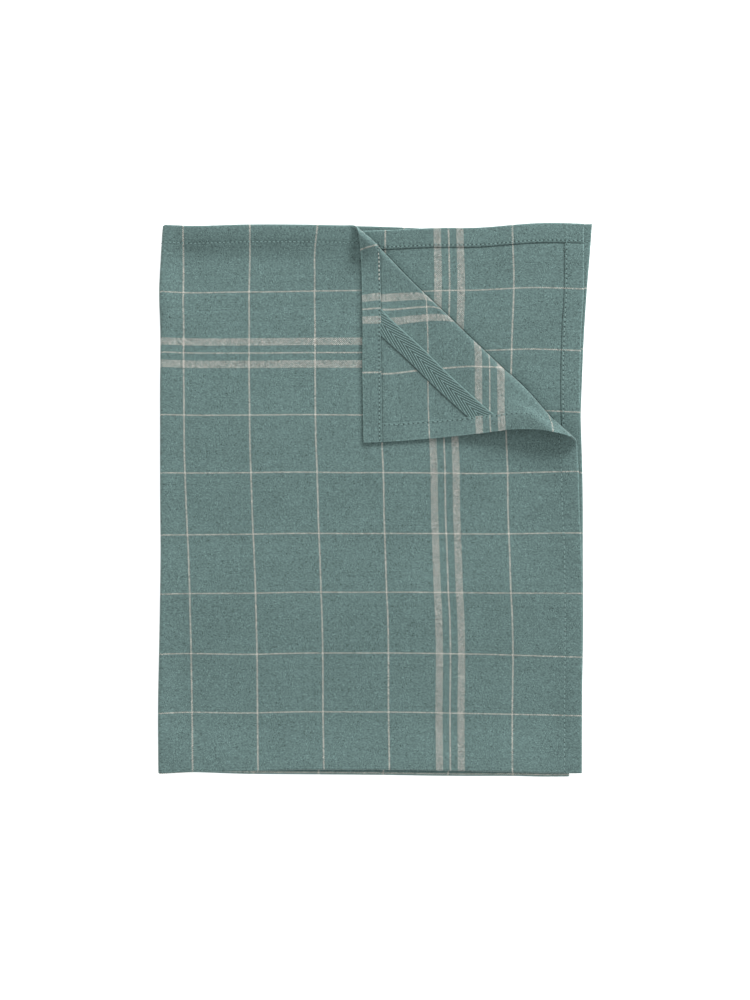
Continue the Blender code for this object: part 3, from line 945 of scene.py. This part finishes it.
def cloth_material():
    """Plain weave of teal yarns with cream stripes both ways, slubby and matt."""
    n = Nodes("woven_cotton_cloth")
    a, b = n.places("cloth")
    u, v = n.places("blank")
    reverse, end_seam_in = n.places("face", 1.0)
    off_roll = n.math("ABSOLUTE", n.places("roll")[0])

    yarn_a = n.math("DIVIDE", n.math("SUBTRACT", a, WARP.band), WARP.pitch)
    yarn_b = n.math("DIVIDE", n.math("SUBTRACT", b, WEFT.band), WEFT.pitch)
    wave_a = n.math("SINE", n.math("MULTIPLY", yarn_a, math.pi))
    wave_b = n.math("SINE", n.math("MULTIPLY", yarn_b, math.pi))
    crossing = n.math("MULTIPLY", wave_a, wave_b)
    cell = n.centred(n.random(yarn_a, yarn_b, 1.5))
    other_cell = n.centred(n.random(yarn_a, yarn_b, 4.5))
    mottle = n.centred(n.noise(a, b, MOTTLE))
    uneven = n.sum((other_cell, CROSSING_ODD), (mottle, CROSSING_MOTTLED))
    uneven = n.math("ADD", WARP_SHOWS, uneven)
    warp_on_top = n.math("MULTIPLY_ADD", crossing, CROSSING_SHARP, uneven, clamp=True)
    colour = n.mix(warp_on_top, stripes(n, b, WEFT), stripes(n, a, WARP))

    nep = n.math("POWER", n.math("MULTIPLY", cell, 2.0), NEP_RARE)
    end_yarn = n.centred(n.random(yarn_a, 0.0, 2.5))
    pick_yarn = n.centred(n.random(0.0, yarn_b, 3.5))
    slub_a = n.centred(n.noise(a, b, SLUBS_OF_WARP))
    slub_b = n.centred(n.noise(a, b, SLUBS_OF_WEFT))
    patch = n.centred(n.noise(a, b, SMALL_PATCHES))
    cloud = n.centred(n.noise(a, b, CLOUDS))
    shade = n.math("ADD", 1.0, n.sum(
        (cell, 0.50), (nep, 0.36), (end_yarn, 0.05), (pick_yarn, 0.08),
        (slub_a, 0.06), (slub_b, 0.12), (patch, 0.06), (cloud, 0.22),
    ))

    side_edge = n.math("SUBTRACT", HALF_WIDTH / MM, n.math("ABSOLUTE", u))
    end_edge = n.math("SUBTRACT", HALF_LENGTH / MM, n.math("ABSOLUTE", v))
    on_end_hem = n.math("LESS_THAN", end_edge, HEM_WIDTH / MM)
    covered = n.math("MULTIPLY", reverse, on_end_hem)
    seen = n.math("SUBTRACT", 1.0, covered)
    # Painted shade: a contact shadow painted on the layer beside the roll, where the bump also
    # dips it
    pressed = n.within(off_roll, ROLL_CONTACT_SHADOW.half, ROLL_CONTACT_SHADOW.soft)
    painted_shade = n.math("MULTIPLY", pressed, ROLL_CONTACT_SHADOW.tone)
    below = n.math("LESS_THAN", v, 0.0)
    side_crevice_shade = n.math("MULTIPLY_ADD", below, SIDE_CREVICE_SHADE_BELOW, SIDE_CREVICE_SHADE)
    for edge, run, seam, sewn_in, shown, crevice_shade_tone in (
        (side_edge, v, SIDE_SEAM, STITCH_IN / MM, seen, side_crevice_shade),
        (end_edge, u, END_SEAM, end_seam_in, 1.0, CREVICE_SHADE.tone),
    ):
        pitch = seam.pitch / MM
        # Painted shade in the needle holes between the stitches, deeper on the reverse
        off_hole = n.apart(n.math("FLOORED_MODULO", run, pitch), pitch / 2)
        hole = n.math("MULTIPLY", n.within(n.apart(edge, sewn_in), HOLE_SHADE.half, HOLE_SHADE.soft),
                      n.within(off_hole, seam.hole / MM / 2, HOLE_SHADE.soft))
        # Painted shade in the crevice along each hem's inner edge, on the reverse
        off_crevice = n.apart(edge, (HEM_WIDTH + CREVICE_OUT) / MM)
        crevice_shade = n.within(off_crevice, CREVICE_SHADE.half, CREVICE_SHADE.soft)
        crevice_shade = n.math("MULTIPLY", n.math("MULTIPLY", crevice_shade, reverse), crevice_shade_tone)
        hole_shade_tone = n.math("MULTIPLY_ADD", reverse, HOLE_SHADE_ON_REVERSE, HOLE_SHADE.tone)
        both = n.math("MAXIMUM", n.math("MULTIPLY", hole, hole_shade_tone), crevice_shade)
        painted_shade = n.math("MAXIMUM", painted_shade, n.math("MULTIPLY", both, shown))
    # Painted highlights along the cloth's edges and along its side and end folds
    rim = n.within(n.math("MINIMUM", side_edge, end_edge), RIM_HIGHLIGHT.half, RIM_HIGHLIGHT.soft)
    side_fold_highlight = n.within(n.math("ABSOLUTE", u), SIDE_FOLD_HIGHLIGHT.half, SIDE_FOLD_HIGHLIGHT.soft)
    end_fold_highlight = n.within(n.math("ABSOLUTE", v), END_FOLD_HIGHLIGHT.half, END_FOLD_HIGHLIGHT.soft)
    lower = n.math("LESS_THAN", u, 0.0)
    shade = n.math("MULTIPLY", shade, n.math("ADD", 1.0, n.sum(
        (rim, RIM_HIGHLIGHT.tone), (side_fold_highlight, SIDE_FOLD_HIGHLIGHT.tone), (end_fold_highlight, END_FOLD_HIGHLIGHT.tone),
        (n.math("MULTIPLY", lower, end_fold_highlight), LOWER_END_FOLD_HIGHLIGHT),
    )))
    shade = n.math("MULTIPLY", shade, n.math("SUBTRACT", 1.0, painted_shade))
    n.paint(colour, shade)

    pucker = n.noise(a, b, PUCKERS)
    height = n.sum((n.math("ABSOLUTE", crossing), 0.06), (cell, 0.08), (slub_a, 0.05),
                   (slub_b, 0.06), (pucker, 0.36), (painted_shade, -0.2))
    n.relief(height, strength=0.6, distance=MM)
    n.finish_fabric()
    return n.material


def tape_material():
    """Herringbone twill: ribs that spread from the tape's middle, and smooth edges."""
    n = Nodes("herringbone_twill_tape")
    s, q = n.places("tape")
    away = n.math("ABSOLUTE", q)
    # Painted light and shade of the weave: rib and float crests lighter, the gaps between them
    # darker
    rib = n.sum((away, math.cos(RIB_ANGLE)), (s, -math.sin(RIB_ANGLE)))
    crest = n.math("COSINE", n.math("MULTIPLY", rib, 2 * math.pi * MM / RIB_PITCH))
    float_turns = math.pi * MM / FLOAT_PITCH
    float_wave = n.math("COSINE", n.math("MULTIPLY", s, 2 * float_turns))
    rib = n.math("POWER", n.math("MULTIPLY_ADD", crest, 0.5, 0.5), RIB_SHARP)
    floats = n.math("MULTIPLY_ADD", float_wave, FLOAT_SWING, FLOAT_MIDDLE)
    body = n.math("MULTIPLY_ADD", n.math("MULTIPLY", rib, floats), BODY_RANGE, BODY_DARK)
    from_edge = n.math("SUBTRACT", TAPE_WIDTH / MM / 2, away)
    edge = n.within(from_edge, SELVEDGE / MM, SELVEDGE_SOFT)
    # The upper selvedge is lighter than the lower one, a painted highlight
    upper = n.math("GREATER_THAN", q, 0.0)
    selvedge = n.math("MULTIPLY_ADD", upper, SELVEDGE_HIGHLIGHT, SELVEDGE_TONE)
    grain_s, grain_q = (n.math("MULTIPLY", x, GRAIN_CELLS) for x in (s, q))
    grain = n.math("MULTIPLY_ADD", n.random(grain_s, grain_q, 2.2), GRAIN_RANGE, GRAIN_DARK)
    shade = n.math("MULTIPLY", n.mix_numbers(edge, body, selvedge), grain)
    # The low edge's scallops, gaps between the weft's loops, are darkened further as a painted
    # shadow
    scallop = n.math("COSINE", n.math("MULTIPLY", s, float_turns))
    from_low = n.math("ADD", q, TAPE_WIDTH / MM / 2)
    from_low = n.sum((from_low, 1.0), (scallop, SCALLOP_DEPTH))
    low_edge_shadow = n.within(from_low, SCALLOP_SHADOW.half, SCALLOP_SHADOW.soft)
    shade = n.math("MULTIPLY", shade, n.math("MULTIPLY_ADD", low_edge_shadow, -SCALLOP_SHADOW.tone, 1.0))
    n.paint(TEAL, shade)
    n.relief(shade, strength=0.5, distance=0.15 * MM)
    n.finish_fabric()
    return n.material


def thread_material():
    """Sewing thread, a little lighter than the cloth, and cream along one short stretch."""
    n = Nodes("teal_sewing_thread")
    place = n.add("ShaderNodeTexCoord")
    noise = n.add("ShaderNodeTexNoise")
    noise.inputs["Scale"].default_value = THREAD_NOISE
    n.join(place.outputs["Object"], noise.inputs["Vector"])
    darkest = THREAD_TONE - THREAD_SWING / 2
    tone = n.math("MULTIPLY_ADD", noise.outputs["Fac"], THREAD_SWING, darkest)
    pale = n.add("ShaderNodeAttribute", attribute_name="cream_thread").outputs["Fac"]
    n.paint(n.mix(pale, TEAL, CREAM), tone)
    n.finish_fabric()
    return n.material


# ---------------------------------------------------------------------------------------------
# Pieces

towel = make_towel()
tape = make_tape()
stitches = make_stitches()
towel.data.materials.append(cloth_material())
tape.data.materials.append(tape_material())
stitches.data.materials.append(thread_material())

for piece in (towel, tape, stitches):
    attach(piece, "root")
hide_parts("towel")
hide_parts("hanging_loop")

# ---------------------------------------------------------------------------------------------
# Floor and light: a window behind the towel's end hems, and a weak fill light opposite

# Half the floor's side, in metres, and how much light the floor and the room give
FLOOR = 4.0
FLOOR_GLOW = 0.6
ROOM_LIGHT = 0.61
# In metres and watts
Lamp = namedtuple("Lamp", "name x y z size power")
LAMPS = (
    Lamp("window", 0.9, 2.2, 0.97, 0.8, 84),
    Lamp("fill", -0.3, -2.0, 1.4, 1.2, 12),
)

floor_mesh = bpy.data.meshes.new("floor")
floor_mesh.from_pydata(
    [(-FLOOR, -FLOOR, 0), (FLOOR, -FLOOR, 0), (FLOOR, FLOOR, 0), (-FLOOR, FLOOR, 0)],
    [],
    [(0, 1, 2, 3)],
)
floor = bpy.data.objects.new("floor", floor_mesh)
bpy.context.scene.collection.objects.link(floor)
paper = Nodes("pale_floor")
paper.shader.inputs["Base Color"].default_value = (0.9, 0.9, 0.9, 1)
paper.shader.inputs["Roughness"].default_value = 0.9
paper.shader.inputs["Specular IOR Level"].default_value = 0.1
paper.shader.inputs["Emission Color"].default_value = (1, 1, 1, 1)
paper.shader.inputs["Emission Strength"].default_value = FLOOR_GLOW
floor_mesh.materials.append(paper.material)

for lamp in LAMPS:
    light = bpy.data.lights.new(lamp.name, "AREA")
    light.size = lamp.size
    light.energy = lamp.power
    holder = bpy.data.objects.new(lamp.name, light)
    holder.location = (lamp.x, lamp.y, lamp.z)
    aim = holder.location * -1
    holder.rotation_mode = "QUATERNION"
    holder.rotation_quaternion = aim.to_track_quat("-Z", "Y")
    bpy.context.scene.collection.objects.link(holder)

world = bpy.data.worlds.new("studio")
world.use_nodes = True
background = world.node_tree.nodes["Background"]
background.inputs["Color"].default_value = (1, 1, 1, 1)
background.inputs["Strength"].default_value = ROOM_LIGHT
bpy.context.scene.world = world
bpy.context.scene.view_settings.view_transform = "Standard"
bpy.context.scene.view_settings.look = "None"
